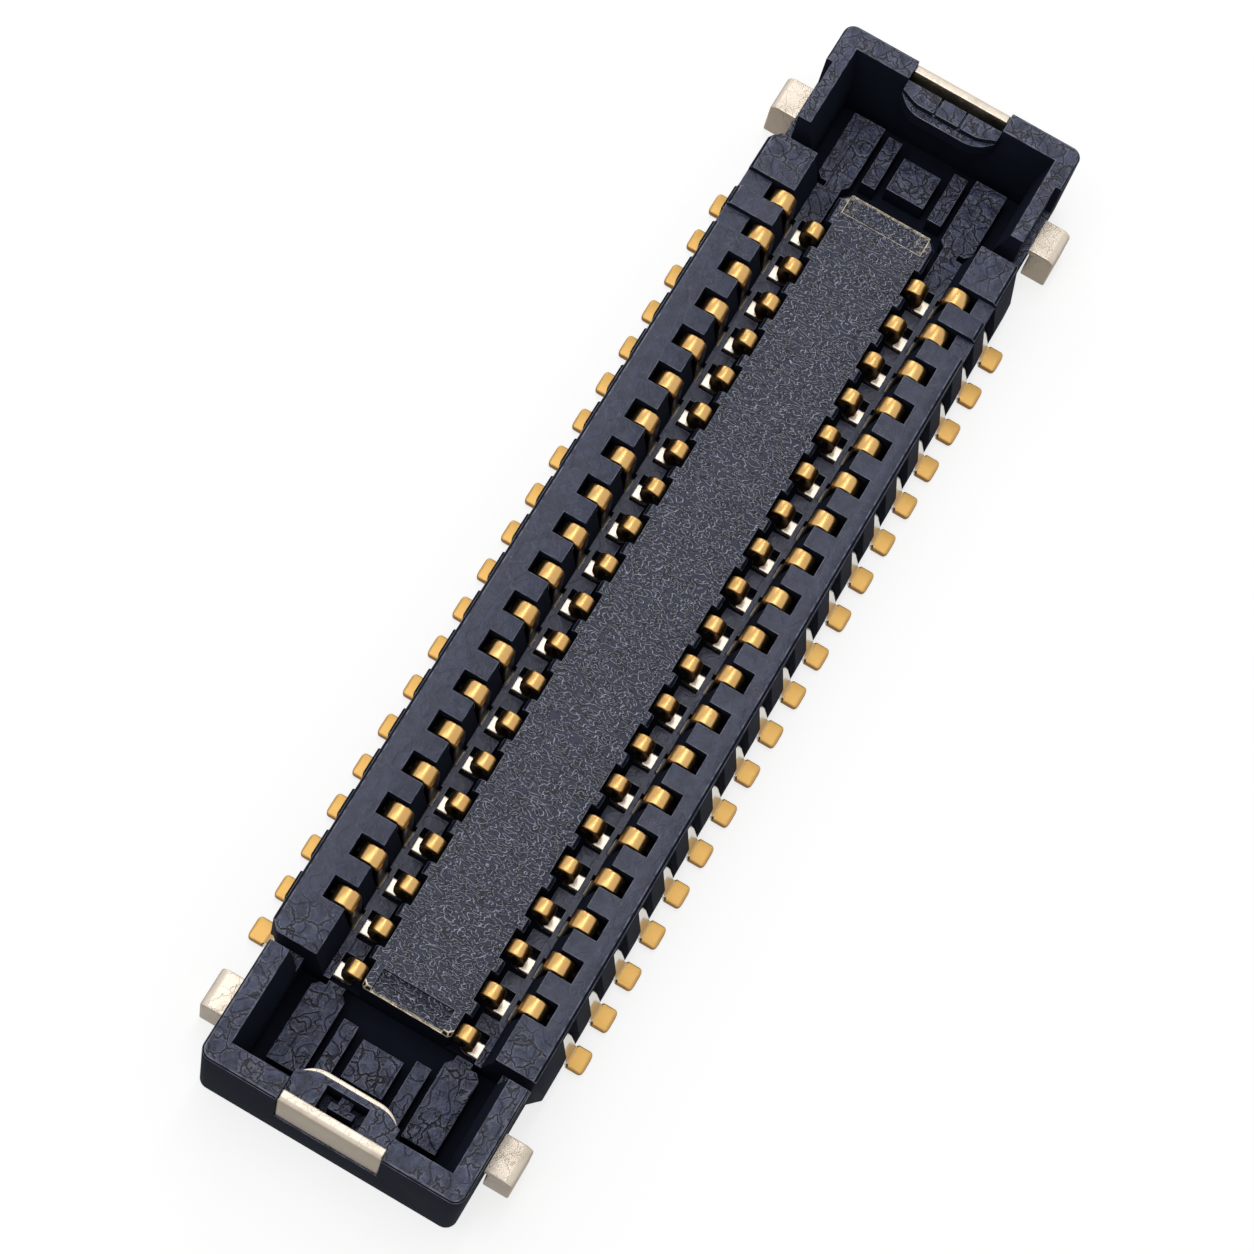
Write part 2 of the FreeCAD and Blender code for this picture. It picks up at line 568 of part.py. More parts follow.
def bent_strip(points, radii):
    """Section of a bent strip: the (y, z) line with rounded corners, half a strip to each side of it."""
    sides = [[], []]
    half = STRIP / 2
    last = len(points) - 1
    for index, point in enumerate(points):
        here = vector(0, *point)
        before = vector(0, *points[max(index - 1, 0)])
        after = vector(0, *points[min(index + 1, last)])
        if index in (0, last):
            along = (after - before).normalize()
            offset = vector(0, -along.z, along.y) * half
            sides[0].append([here + offset])
            sides[1].append([here - offset])
            continue
        back = (before - here).normalize()
        ahead = (after - here).normalize()
        half_angle = back.getAngle(ahead) / 2
        middle = (back + ahead).normalize()
        radius = radii[index - 1]
        centre = here + middle * (radius / math.sin(half_angle))
        run = radius / math.tan(half_angle)
        start = (here + back * run - centre).normalize()
        end = (here + ahead * run - centre).normalize()
        sizes = [radius - half, radius + half]
        if back.cross(ahead).x > 0:
            sizes.reverse()
        for side, size in zip(sides, sizes):
            side.append([centre + start * size, centre - middle * size, centre + end * size])
    edges = rail_edges(sides[0]) + rail_edges(sides[1])
    edges += [Part.makeLine(sides[0][place][place], sides[1][place][place]) for place in (0, -1)]
    return Part.Face(Part.Wire(Part.__sortEdges__(edges)))


def contact_route(covered, trimmed):
    """Middle line of a left contact from its tail to its tip, and the radius of each bend."""
    half = STRIP / 2
    seat = SEAT_TOP + half
    inner_arch = INNER_ARCH_TOP - half
    tip_y = INNER_ARCH_Y - INNER_ARCH_SPAN
    leg_y, arm_y, arch, bend = LEG_Y, ARM_TOP_Y, OUTER_ARCH_TOP - half, OUTER_ARCH_RADIUS
    if covered:
        leg_y, arm_y, arch, bend = COVERED_LEG_Y, COVERED_ARM_Y, COVERED_ARCH_TOP - half, COVERED_ARCH_RADIUS
    points = [(TAIL_REACH_Y, half), (TAIL_BEND_Y, half), (WALL_OUTER_Y, FOOT_TOP),
              (leg_y, FOOT_TOP + LEG_RISE), (leg_y, arch), (arm_y, arch),
              (arm_y - ARM_LEAN, seat), (BOTTOM_INNER_Y, seat), (INNER_ARCH_Y, INNER_ARCH_BEND_Z),
              (INNER_ARCH_Y, inner_arch), (tip_y, inner_arch), (tip_y, inner_arch - TIP_LENGTH)]
    radii = [TAIL_BEND_RADIUS, LEG_BEND_RADIUS, LEG_BEND_RADIUS, bend, bend,
             ARM_BEND_RADIUS, BOTTOM_RADIUS, INNER_ARCH_RADIUS, INNER_ARCH_RADIUS, INNER_ARCH_RADIUS]
    if not trimmed:
        return points, radii
    points[2] = (TRIMMED_FOOT_Y, FOOT_TOP)
    return points[2:], radii[2:]


def strip_plan():
    """Plan of the strip's width: a wide tail with cut corners, the leg and outer arch, the narrower arm."""
    tail, leg, arm = TAIL_WIDTH / 2, STRIP_WIDTH / 2, ARM_WIDTH / 2
    right = [(arm, 0), (arm, RIB_OUTER_Y), (leg, RIB_OUTER_Y), (leg, TAIL_NECK_Y), (tail, TAIL_NECK_Y),
             (tail, TAIL_REACH_Y - TAIL_CORNER), (tail - TAIL_CORNER, TAIL_REACH_Y)]
    left = [(-x, y) for x, y in reversed(right)]
    return upright(right + left, (-RUN_OUT, RUN_OUT))


def contact(x, side, covered, trimmed):
    """One bent contact strip at its place in the row."""
    section = bent_strip(*contact_route(covered, trimmed))
    section.translate(vector(-TAIL_WIDTH / 2, 0, 0))
    strip = section.extrude(vector(TAIL_WIDTH, 0, 0)).common(strip_plan())
    strip.translate(vector(x, 0, 0))
    return placed(strip, 1, side)


def main():
    os.makedirs("parts", exist_ok=True)
    plates = {"hold_down_near": hold_down(-1), "hold_down_far": hold_down(1)}
    nodes = {"housing": housing(list(plates.values()))}
    nodes.update(plates)
    for row, side in (("left", 1), ("right", -1)):
        nodes["contact_" + row + "_01"] = contact(COVERED_X, side, True, side < 0)
        for index, x in enumerate(WINDOW_X):
            nodes["contact_%s_%02d" % (row, index + 2)] = contact(x, side, False, False)
    for name, shape in nodes.items():
        solids = shape.Solids
        shape = solids[0] if len(solids) == 1 else shape
        shape.exportStep("parts/" + name + ".step")
        print(name, len(solids), "solid", shape.isValid(), round(shape.Volume, 4))


main()
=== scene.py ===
import math
import bmesh
import bpy
import numpy as np
from mathutils import Matrix, Vector


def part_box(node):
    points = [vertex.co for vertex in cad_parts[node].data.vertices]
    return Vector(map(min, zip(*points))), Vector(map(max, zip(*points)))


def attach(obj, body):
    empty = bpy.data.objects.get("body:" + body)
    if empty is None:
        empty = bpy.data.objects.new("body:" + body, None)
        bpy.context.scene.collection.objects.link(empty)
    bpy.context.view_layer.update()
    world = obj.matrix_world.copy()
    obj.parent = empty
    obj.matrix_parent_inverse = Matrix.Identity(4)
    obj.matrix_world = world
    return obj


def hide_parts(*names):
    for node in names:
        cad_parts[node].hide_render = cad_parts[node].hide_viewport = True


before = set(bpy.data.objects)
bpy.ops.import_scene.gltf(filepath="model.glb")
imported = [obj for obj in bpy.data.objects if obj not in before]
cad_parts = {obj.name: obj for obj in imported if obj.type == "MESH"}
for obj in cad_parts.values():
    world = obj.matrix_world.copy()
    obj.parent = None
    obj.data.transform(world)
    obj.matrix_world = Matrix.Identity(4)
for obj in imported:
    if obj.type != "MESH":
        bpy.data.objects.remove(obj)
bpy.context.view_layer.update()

bl_info = {
    "name": "Board to board receptacle",
    "version": (1, 0, 0),
    "blender": (4, 5, 0),
    "location": "3D View > Sidebar > Receptacle",
    "description": "Dresses the packed receptacle: housing, contact strips, hold-downs and a stage",
    "category": "Object",
}

MM = 0.001
CONTACTS = sorted(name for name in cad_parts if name.startswith("contact_"))

# Strip route of a left contact in millimetres, from the solder tail to the free tip: (y, z) of the middle
# line, and the radius of the bend at each inner point. The outer arch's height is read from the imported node.
ROUTE = [(1.42, 0.035), (1.245, 0.035), (1.165, 0.30), (0.925, 0.33), (0.925, 0.71), (0.775, 0.71),
         (0.755, 0.225), (0.50, 0.225), (0.565, 0.36), (0.565, 0.52), (0.45, 0.52), (0.45, 0.38)]
BENDS = [0.06, 0.05, 0.05, 0.07, 0.07, 0.055, 0.045, 0.055, 0.055, 0.055]
OUTER_ARCH = (4, 5)

# A contact whose top stays below COVERED_TOP is the one under the wall: the route's points at these places
# move out to these y values, and the outer arch's bends are tighter.
COVERED_TOP = 0.7
COVERED_Y = {3: 0.985, 4: 0.985, 5: 0.87, 6: 0.85}
COVERED_BEND = 0.055

# A contact that starts above TRIMMED_ABOVE has no tail: its foot stands for the points before AFTER_FOOT.
TRIMMED_ABOVE = 0.02
TRIMMED_FOOT, AFTER_FOOT = (1.115, 0.30), 3

# How finely a strip is divided: steps in a bend and in a quarter of the section, the longest gap on a
# straight run in millimetres, and the places near a cut end as shares of half the thickness
BEND_STEPS, QUARTER_STEPS = 8, 3
LINE_GAP = 0.03
END_SHARES = (0.1, 0.25, 0.5, 0.75, 1.0)
END_CLEARANCE = 1.02

# A cut end's corners, seen flat, are PLAN_SHARE times as round as the edges. Through the strip they take off
# END_LOSS of a full quarter circle, which leaves a small flat face.
PLAN_SHARE = 2.2
END_LOSS = 0.9

# Where the strip's width starts to change, as distances from the rows' mirror plane, and over what length
NECK_Y, NECK_RUN = 1.258, 0.02
BOTTOM_Y, BOTTOM_RUN = 0.645, 0.06

# Bands of the plating, and of the painted shade on the arm (ARM) and the painted reflection on the spring's
# bottom (BOTTOM): where each change starts and ends, as distances from the mirror plane. The two whose names
# end in BELOW are heights.
TAIL_BAND = (1.25, 1.27)
BARRIER_START, BARRIER_END = (1.13, 1.15), (1.268, 1.276)
ARM_BELOW, ARM_BEYOND = (0.71, 0.62), (0.68, 0.72)
BOTTOM_BELOW, BOTTOM_WITHIN = (0.3, 0.26), (0.78, 0.74)

# Areas of the moulding, as distances from the middle and heights. Cracks start at the first value of END_BAND
# and are at full strength from the second. The island's top lies within ISLAND_REACH, above ISLAND_LOW.
END_BAND = (3.65, 3.95)
ISLAND_REACH = (4.15, 0.47)
ISLAND_LOW = 0.48

# Cream outline of painted highlight on the island's lower end steps: where its rounded edges lie. Within
# STEP_OUTER only the far end has it.
STEP_REACH, STEP_SIDE, STEP_HIGH = (3.85, 4.12), 0.4, 0.53
STEP_OUTER = 4.0
OUTLINE_BAND = (4.066, 4.074)
CORNER_BEYOND, CORNER_ASIDE = (3.88, 3.9), (0.27, 0.3)

# What lies below POCKET_TOP and within GROOVE_REACH of the mirror plane, and every face that is not a top, is
# matt and darkened as painted shade. A face is a top where its normal rises by more than UP, and a rounded
# edge carries a painted pale highlight where its normal rises by more than SLANTED.
GROOVE_REACH, POCKET_TOP = 0.8, 0.3
UP, SLANTED = 0.9, 0.4

# Sizes of the moulding's marks. A width is a share of its mark's size.
CRACK_SIZE, CRACK_WIDTH, LIP_WIDTH = 0.17, 0.06, 0.15
FOLD_SIZE, FOLD_WIDTH = 0.16, 0.05
SCRATCH_SIZE, SCRATCH_WIDTH = 0.6, 0.01
COARSE_RIDGE, COARSE_WIDTH = 0.028, 0.26
FINE_RIDGE, FINE_WIDTH = 0.021, 0.27

# How the coordinates of the island's ridges and of the strip's rolling marks are scaled
RIDGE_SCALES = (1.0, 0.5, 1.0)
ROLLED_SCALES = (4.0, 0.4, 0.4)

# In degrees: edges that turn more than SHARP are rounded, triangles that turn less than FLAT are joined, and
# faces that turn less than the SMOOTH angle of their kind are shaded as one
SHARP, FLAT = 25, 0.6
SMOOTH_FOLDED, SMOOTH_STRIP = 24, 50

# Points nearer than this, in millimetres, are one
SAME_POINT = 1e-4

# Camera, fitted to the photograph: place in millimetres and the directions of the picture's axes
CAMERA_PLACE = (-11.2354, -1.9765, 28.4061)
CAMERA_RIGHT = (0.487486, -0.864187, 0.124656)
CAMERA_DOWN = (-0.795064, -0.498500, -0.345500)
CAMERA_AHEAD = (0.361778, 0.069521, -0.929669)
LENS_MM, SENSOR_MM = 105.99, 36.0
CLIP_START, CLIP_END = 0.001, 10.0

# Lamps: place, and length and width, in millimetres, then the radiance. The key lamp hangs where the flat
# tops mirror it into the lens.
TOP_LAMP = ((-6, 10, 34), (24, 24), 1.5)
RIM_LAMP = ((22, 16, 16), (12, 12), 2.0)
KEY_LAMP = ((11.2, 2, 28.4), (20, 3))

# Floor: half its side and its depth under the board plane in millimetres, and its grey and glow
FLOOR_REACH, FLOOR_DROP = 300, 0.004
FLOOR_GREY, FLOOR_GLOW = 0.35, 0.75


# Settings of the panel

class ReceptacleStrips(bpy.types.PropertyGroup):
    thickness: bpy.props.FloatProperty(name="Strip thickness", description="Thickness of the contact strip",
                                       default=0.07 * MM, unit="LENGTH", precision=6)
    leg_width: bpy.props.FloatProperty(name="Leg width", description="Width of the leg and of the outer arch",
                                       default=0.165 * MM, unit="LENGTH", precision=6)
    arm_width: bpy.props.FloatProperty(name="Arm width", description="Width of the arm beside the island",
                                       default=0.138 * MM, unit="LENGTH", precision=6)
    tail_width: bpy.props.FloatProperty(name="Tail width", description="Width of the solder tail",
                                        default=0.21 * MM, unit="LENGTH", precision=6)
    edge_radius: bpy.props.FloatProperty(name="Strip edge radius", description="Rounding along the edges",
                                         default=0.018 * MM, unit="LENGTH", precision=6)
    gold: bpy.props.StringProperty(name="Gold", description="Colour of the gold plating, sRGB hex",
                                   default="e0b87a")
    nickel: bpy.props.StringProperty(name="Nickel", description="Colour of the bare nickel band",
                                     default="d9d6cf")


class ReceptacleHousing(bpy.types.PropertyGroup):
    edge_width: bpy.props.FloatProperty(name="Edge rounding", description="Rounding of the outer edges",
                                        default=0.007 * MM, unit="LENGTH", precision=6)
    resin: bpy.props.StringProperty(name="Resin", description="Colour of the moulded resin, sRGB hex",
                                    default="272b3f")
    island: bpy.props.StringProperty(name="Island", description="Colour of the island's top, sRGB hex",
                                     default="31354a")
    # Painted shade: this darker colour stands for the shade on upright walls and deep in the pockets and
    # grooves.
    recess_shade: bpy.props.StringProperty(name="Recess", description="Colour of the resin deep in the pockets",
                                     default="151924")
    # Pale colour of the real scratches, also used as the painted highlight on the moulding's rounded edges.
    scratch_and_edge_highlight: bpy.props.StringProperty(name="Pale edge", description="Colour of worn and polished edges",
                                        default="6e7182")


class ReceptaclePlates(bpy.types.PropertyGroup):
    edge_width: bpy.props.FloatProperty(name="Plate edge rounding", description="Rounding of the edges",
                                        default=0.014 * MM, unit="LENGTH", precision=6)
    tin: bpy.props.StringProperty(name="Tin", description="Colour of the tin plating, sRGB hex",
                                  default="d8ccbd")


class ReceptacleStage(bpy.types.PropertyGroup):
    fill: bpy.props.FloatProperty(name="Fill", description="Strength of the surrounding light",
                                  default=0.45, min=0.0)
    key: bpy.props.FloatProperty(name="Key", description="Radiance of the lamp that the flat tops mirror",
                                 default=6.0, min=0.0)


# Small tools for node trees

def paint(text):
    """Linear colour of an sRGB hex value."""
    values = [int(text[place:place + 2], 16) / 255 for place in (0, 2, 4)]
    return [value / 12.92 if value <= 0.04045 else ((value + 0.055) / 1.055) ** 2.4
            for value in values] + [1.0]


def fill_sockets(tree, node, sockets):
    """Gives each named socket of a node its value, or links it to another node's output."""
    for name, value in sockets.items():
        if isinstance(value, bpy.types.NodeSocket):
            tree.links.new(value, node.inputs[name])
        else:
            node.inputs[name].default_value = value


def add(tree, kind, sockets=None, **settings):
    """Adds one node, sets its properties and fills its sockets. Returns the node."""
    node = tree.nodes.new(kind)
    for name, value in settings.items():
        setattr(node, name, value)
    fill_sockets(tree, node, sockets or {})
    return node


def blank_tree(owner):
    """Empty node tree of a material or a world."""
    owner.use_nodes = True
    owner.node_tree.nodes.clear()
    return owner.node_tree


def blank_material(name):
    """New material with one Principled shader at its output. Returns the material, its tree and shader."""
    material = bpy.data.materials.new(name)
    tree = blank_tree(material)
    shader = add(tree, "ShaderNodeBsdfPrincipled")
    add(tree, "ShaderNodeOutputMaterial", {"Surface": shader.outputs[0]})
    return material, tree, shader


def math_node(tree, operation, *values):
    """Output of one Math node on sockets or numbers."""
    return add(tree, "ShaderNodeMath", dict(enumerate(values)), operation=operation).outputs[0]


def object_place(tree):
    """Place on the object, in metres."""
    return add(tree, "ShaderNodeTexCoord").outputs["Object"]


def split(tree, vector):
    """The X, Y and Z outputs of a vector."""
    return add(tree, "ShaderNodeSeparateXYZ", {"Vector": vector}).outputs


def facing_up(tree):
    """Z of the surface's normal."""
    return split(tree, add(tree, "ShaderNodeTexCoord").outputs["Normal"])["Z"]


def noise(tree, place, size, detail, **sockets):
    """Value of a noise with forms of about the size in millimetres."""
    filled = {"Vector": place, "Scale": 1 / (size * MM), "Detail": detail, **sockets}
    return add(tree, "ShaderNodeTexNoise", filled).outputs[0]


def band(tree, value, low, high):
    """Smooth step of a value: nought up to low, one from high."""
    return add(tree, "ShaderNodeMapRange", {"Value": value, "From Min": low, "From Max": high},
               interpolation_type="SMOOTHSTEP").outputs[0]


def millimetre_band(tree, value, ends):
    """The same step with its two ends in millimetres."""
    return band(tree, value, ends[0] * MM, ends[1] * MM)


def mixed(tree, factor, first, second):
    """Output of one colour Mix node."""
    return add(tree, "ShaderNodeMix", {0: factor, 6: first, 7: second}, data_type="RGBA").outputs[2]


def seen_rays(tree):
    """One for camera, glossy and transmission rays, and nought for the rest."""
    path = add(tree, "ShaderNodeLightPath")
    gloss = math_node(tree, "MAXIMUM", path.outputs["Is Glossy Ray"], path.outputs["Is Transmission Ray"])
    return math_node(tree, "MAXIMUM", path.outputs["Is Camera Ray"], gloss)


def worm_lines(tree, place, size, width):
    """Thin curly ridges of an even width: one where a noise of the size in millimetres passes its middle
    value. The noise is divided by its slope, found from two more samples a small step away, to give the
    distance in sizes."""
    step = 0.06
    scale = 1.0 / (size * MM)
    scaled = add(tree, "ShaderNodeVectorMath", {0: place, "Scale": scale}, operation="SCALE").outputs[0]
    values = []
    for shift in ((0, 0, 0), (step, 0, 0), (0, step, 0)):
        moved = add(tree, "ShaderNodeVectorMath", {0: scaled, 1: shift}, operation="ADD").outputs[0]
        sample = add(tree, "ShaderNodeTexNoise", {"Vector": moved, "Scale": 1.0, "Detail": 0.0})
        values.append(sample.outputs[0])
    slopes = [math_node(tree, "SUBTRACT", value, values[0]) for value in values[1:]]
    squares = [math_node(tree, "MULTIPLY", slope, slope) for slope in slopes]
    steepness = math_node(tree, "SQRT", math_node(tree, "ADD", *squares))
    off_middle = math_node(tree, "ABSOLUTE", math_node(tree, "SUBTRACT", values[0], 0.5))
    distance = math_node(tree, "MULTIPLY", math_node(tree, "DIVIDE", off_middle, steepness), step)
    return band(tree, distance, width, 0.0)


def crack_lines(tree, place, size, width, wander):
    """Fine cracks: one on the borders of Voronoi cells of the size in millimetres. A noise shifts their
    coordinates by up to half the wander, in sizes."""
    cell = size * MM
    drift = add(tree, "ShaderNodeTexNoise", {"Vector": place, "Scale": 2.0 / cell, "Detail": 2.0})
    shift = add(tree, "ShaderNodeVectorMath", {0: drift.outputs[1], 1: (0.5, 0.5, 0.5)}, operation="SUBTRACT")
    scaled = add(tree, "ShaderNodeVectorMath", {0: shift.outputs[0], "Scale": wander * cell},
                 operation="SCALE")
    moved = add(tree, "ShaderNodeVectorMath", {0: place, 1: scaled.outputs[0]}, operation="ADD")
    cells = add(tree, "ShaderNodeTexVoronoi", {"Vector": moved.outputs[0], "Scale": 1.0 / cell},
                feature="DISTANCE_TO_EDGE")
    return band(tree, cells.outputs["Distance"], width, 0.0)


# Materials

def resin_moulded(settings):
    """Glass-filled liquid crystal polymer as it leaves the mould: satin, with faint flow marks and scratches.
    At the two ends, where it froze last, it is leathery, with dark cracks whose edges are lightened as painted
    highlights."""
    material, tree, shader = blank_material("lcp_moulded")
    place = object_place(tree)
    flow = noise(tree, place, 0.1, 5.0, Roughness=0.6)
    ends = millimetre_band(tree, math_node(tree, "ABSOLUTE", split(tree, place)["X"]), END_BAND)
    where = math_node(tree, "MULTIPLY", ends, band(tree, noise(tree, place, 0.25, 2.0), 0.36, 0.48))
    cracks = math_node(tree, "MULTIPLY", crack_lines(tree, place, CRACK_SIZE, CRACK_WIDTH, 0.8), where)
    crack_lip_highlights = math_node(tree, "MULTIPLY", crack_lines(tree, place, CRACK_SIZE, LIP_WIDTH, 0.8), where)
    folds = math_node(tree, "MULTIPLY", worm_lines(tree, place, FOLD_SIZE, FOLD_WIDTH),
                      math_node(tree, "MULTIPLY_ADD", ends, 0.6, 0.12))
    scratches = crack_lines(tree, place, SCRATCH_SIZE, SCRATCH_WIDTH, 1.4)
    bright = mixed(tree, ends, paint("3a3f57"), paint("525873"))
    colour = mixed(tree, band(tree, flow, 0.3, 0.75), paint(settings.resin), bright)
    colour = mixed(tree, math_node(tree, "MULTIPLY", scratches, 0.3), colour, paint(settings.scratch_and_edge_highlight))
    # Painted highlight: the pale edges of the cracks stand for glints.
    colour = mixed(tree, math_node(tree, "MULTIPLY", crack_lip_highlights, 0.45), colour, paint("a3a5b4"))
    colour = mixed(tree, math_node(tree, "MULTIPLY", folds, 0.5), colour, paint("0d0f16"))
    colour = mixed(tree, math_node(tree, "MULTIPLY", cracks, 0.8), colour, paint("0a0b11"))
    height = math_node(tree, "MULTIPLY", flow, math_node(tree, "MULTIPLY_ADD", ends, 1.6, 0.6))
    height = math_node(tree, "SUBTRACT", height, math_node(tree, "MULTIPLY", folds, 0.5))
    height = math_node(tree, "SUBTRACT", height, math_node(tree, "MULTIPLY", cracks, 1.2))
    bump = add(tree, "ShaderNodeBump", {"Height": height, "Strength": 1.0, "Distance": 0.024 * MM})
    fill_sockets(tree, shader, {"Base Color": colour, "Normal": bump.outputs[0], "Roughness": 0.36,
                                "Specular IOR Level": 0.4})
    return material


def resin_wrinkled(settings):
    """The same resin on the island's top, where glass fibres show as a dense mat of fine curly pale ridges.
    The island's end steps have a cream outline of painted highlight."""
    material, tree, shader = blank_material("lcp_fibre_wrinkle")
    place = object_place(tree)
    drawn = add(tree, "ShaderNodeMapping", {"Vector": place, "Scale": RIDGE_SCALES}).outputs[0]
    coarse = worm_lines(tree, drawn, COARSE_RIDGE, COARSE_WIDTH)
    fine = worm_lines(tree, drawn, FINE_RIDGE, FINE_WIDTH)
    breaks = noise(tree, place, 0.045, 3.0)
    strength = band(tree, breaks, 0.38, 0.6)
    ridges = math_node(tree, "MAXIMUM", math_node(tree, "MULTIPLY", coarse, strength),
                       math_node(tree, "MULTIPLY", fine, math_node(tree, "SUBTRACT", 0.85, strength)))
    colour = mixed(tree, strength, paint("11131c"), paint(settings.island))
    colour = mixed(tree, ridges, colour, paint("ccd0e2"))
    parts = split(tree, place)
    # Painted highlight: a cream line at the island's two ends, and patches at the far end's outer corners.
    end = millimetre_band(tree, math_node(tree, "ABSOLUTE", parts["X"]), OUTLINE_BAND)
    outline = math_node(tree, "MULTIPLY", end, band(tree, breaks, 0.3, 0.5))
    aside = millimetre_band(tree, math_node(tree, "ABSOLUTE", parts["Y"]), CORNER_ASIDE)
    corner = math_node(tree, "MULTIPLY", millimetre_band(tree, parts["X"], CORNER_BEYOND), aside)
    corner = math_node(tree, "MULTIPLY", corner, band(tree, breaks, 0.5, 0.62))
    outline = math_node(tree, "MAXIMUM", outline, math_node(tree, "MULTIPLY", corner, 0.6))
    colour = mixed(tree, math_node(tree, "MULTIPLY", outline, 0.8), colour, paint("e6d6bd"))
    bump = add(tree, "ShaderNodeBump", {"Height": ridges, "Strength": 1.0, "Distance": 0.026 * MM})
    fill_sockets(tree, shader, {"Base Color": colour, "Normal": bump.outputs[0], "Roughness": 0.45,
                                "Specular IOR Level": 0.3})
    return material


def resin_recess_shade(settings):
    """The same resin on upright walls and deep in pockets and grooves, where it is matt and darkened to navy
    as painted shade.
    """
    material, tree, shader = blank_material("lcp_recess_shade")
    place = object_place(tree)
    flow = noise(tree, place, 0.15, 3.0)
    # Painted shade: the dark navy stands for the shade on upright walls and in the pockets.
    colour = mixed(tree, flow, paint(settings.recess_shade), paint("1b202c"))
    bump = add(tree, "ShaderNodeBump", {"Height": flow, "Strength": 0.5, "Distance": 0.006 * MM})
    fill_sockets(tree, shader, {"Base Color": colour, "Normal": bump.outputs[0], "Roughness": 0.7,
                                "Specular IOR Level": 0.03})
    return material


def resin_edge_highlight(settings):
    """Edges of the moulding, painted pale as a highlight and a little shinier, broken up along their length.
    """
    material, tree, shader = blank_material("lcp_edge_highlight")
    place = object_place(tree)
    highlight_patches = band(tree, noise(tree, place, 0.07, 3.0), 0.35, 0.65)
    # Painted highlight: the pale colour on rounded edges stands for light caught there.
    colour = mixed(tree, highlight_patches, paint(settings.resin), paint(settings.scratch_and_edge_highlight))
    fill_sockets(tree, shader, {"Base Color": colour, "Roughness": 0.35, "IOR": 1.5})
    return material


def resin_highlight_line(settings):
    """Outline of the island's end steps: a thin warm cream line of painted highlight."""
    material, tree, shader = blank_material("lcp_highlight_line")
    place = object_place(tree)
    highlight_patches = band(tree, noise(tree, place, 0.09, 2.0), 0.4, 0.6)
    # Painted highlight: the cream colour stands for light caught on the steps' rounded edges.
    colour = mixed(tree, highlight_patches, paint("a8957a"), paint("f0dfc2"))
    fill_sockets(tree, shader, {"Base Color": colour, "Roughness": 0.3, "Metallic": 0.3})
    return material


def gold_on_strip(settings):
    """Gold over nickel on a rolled copper alloy strip: satin on the spring, matter on the dipped solder tail,
    with the bare nickel band that keeps solder off the spring, and rolling marks along the strip. The plating
    is even; painted reflection makes the flat bottom of the spring pale, and painted shade makes the arm in
    the wall's slot brown and the tail's flanks dark, as they look in the photograph."""
    material, tree, shader = blank_material("gold_plated_strip")
    place = object_place(tree)
    parts = split(tree, place)
    out = math_node(tree, "ABSOLUTE", parts["Y"])
    tail = millimetre_band(tree, out, TAIL_BAND)
    barrier = math_node(tree, "MULTIPLY", millimetre_band(tree, out, BARRIER_START),
                        math_node(tree, "SUBTRACT", 1.0, millimetre_band(tree, out, BARRIER_END)))
    rolled = add(tree, "ShaderNodeMapping", {"Vector": place, "Scale": ROLLED_SCALES}).outputs[0]
    marks = noise(tree, rolled, 0.08, 2.0)
    gold = mixed(tree, noise(tree, place, 0.25, 1.0), paint(settings.gold), paint("cda062"))
    gold = mixed(tree, math_node(tree, "MULTIPLY", marks, 0.3), gold, paint("a47433"))
    # Painted shade: the arm going down into the wall's slot is darkened to brown.
    down = math_node(tree, "MULTIPLY", millimetre_band(tree, parts["Z"], ARM_BELOW),
                     millimetre_band(tree, out, ARM_BEYOND))
    gold = mixed(tree, down, gold, paint("2a1a0c"))
    # Painted reflection: the flat bottom of the spring is made nearly white.
    bottom = math_node(tree, "MULTIPLY", millimetre_band(tree, parts["Z"], BOTTOM_BELOW),
                       millimetre_band(tree, out, BOTTOM_WITHIN))
    gold = mixed(tree, bottom, gold, paint("fbeedd"))
    # Painted shade: the tail's flanks darken as they turn away from facing up.
    flank_shade = band(tree, facing_up(tree), 0.75, 0.2)
    gold = mixed(tree, tail, gold, mixed(tree, flank_shade, paint("c39b5a"), paint("80592a")))
    colour = mixed(tree, barrier, gold, paint(settings.nickel))
    rough = math_node(tree, "ADD", math_node(tree, "MULTIPLY", math_node(tree, "ADD", tail, bottom), 0.15),
                      math_node(tree, "MULTIPLY_ADD", marks, 0.04, 0.27))
    fill_sockets(tree, shader, {"Base Color": colour, "Roughness": rough, "Metallic": 1.0})
    return material


def tin_on_plate(settings):
    """Tin plating on a stamped plate: pale warm silver, finely pitted, with faint creases and darker smudges,
    and flanks darkened as painted shade."""
    material, tree, shader = blank_material("tin_plated_plate")
    place = object_place(tree)
    smudge = noise(tree, place, 0.16, 3.0)
    creases = crack_lines(tree, place, 0.13, 0.025, 1.0)
    colour = mixed(tree, band(tree, smudge, 0.45, 0.9), paint(settings.tin), paint("bcb1a0"))
    colour = mixed(tree, math_node(tree, "MULTIPLY", creases, 0.12), colour, paint("8a7f70"))
    # Painted shade: faces that turn away from facing up are darker.
    colour = mixed(tree, band(tree, facing_up(tree), 0.8, 0.2), colour, paint("978b7b"))
    height = math_node(tree, "SUBTRACT", noise(tree, place, 0.02, 2.0), creases)
    bump = add(tree, "ShaderNodeBump", {"Height": height, "Strength": 0.5, "Distance": 0.003 * MM})
    rough = math_node(tree, "MULTIPLY_ADD", smudge, 0.2, 0.35)
    fill_sockets(tree, shader, {"Base Color": colour, "Normal": bump.outputs[0], "Roughness": rough,
                                "Metallic": 1.0})
    return material


# Shapes

def stand(name, mesh, nodes):
    """Puts a finished mesh into the scene as a piece that stands for the nodes and rides on the one body."""
    piece = bpy.data.objects.new(name, mesh)
    bpy.context.scene.collection.objects.link(piece)
    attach(piece, "root")
    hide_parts(*nodes)
    return piece


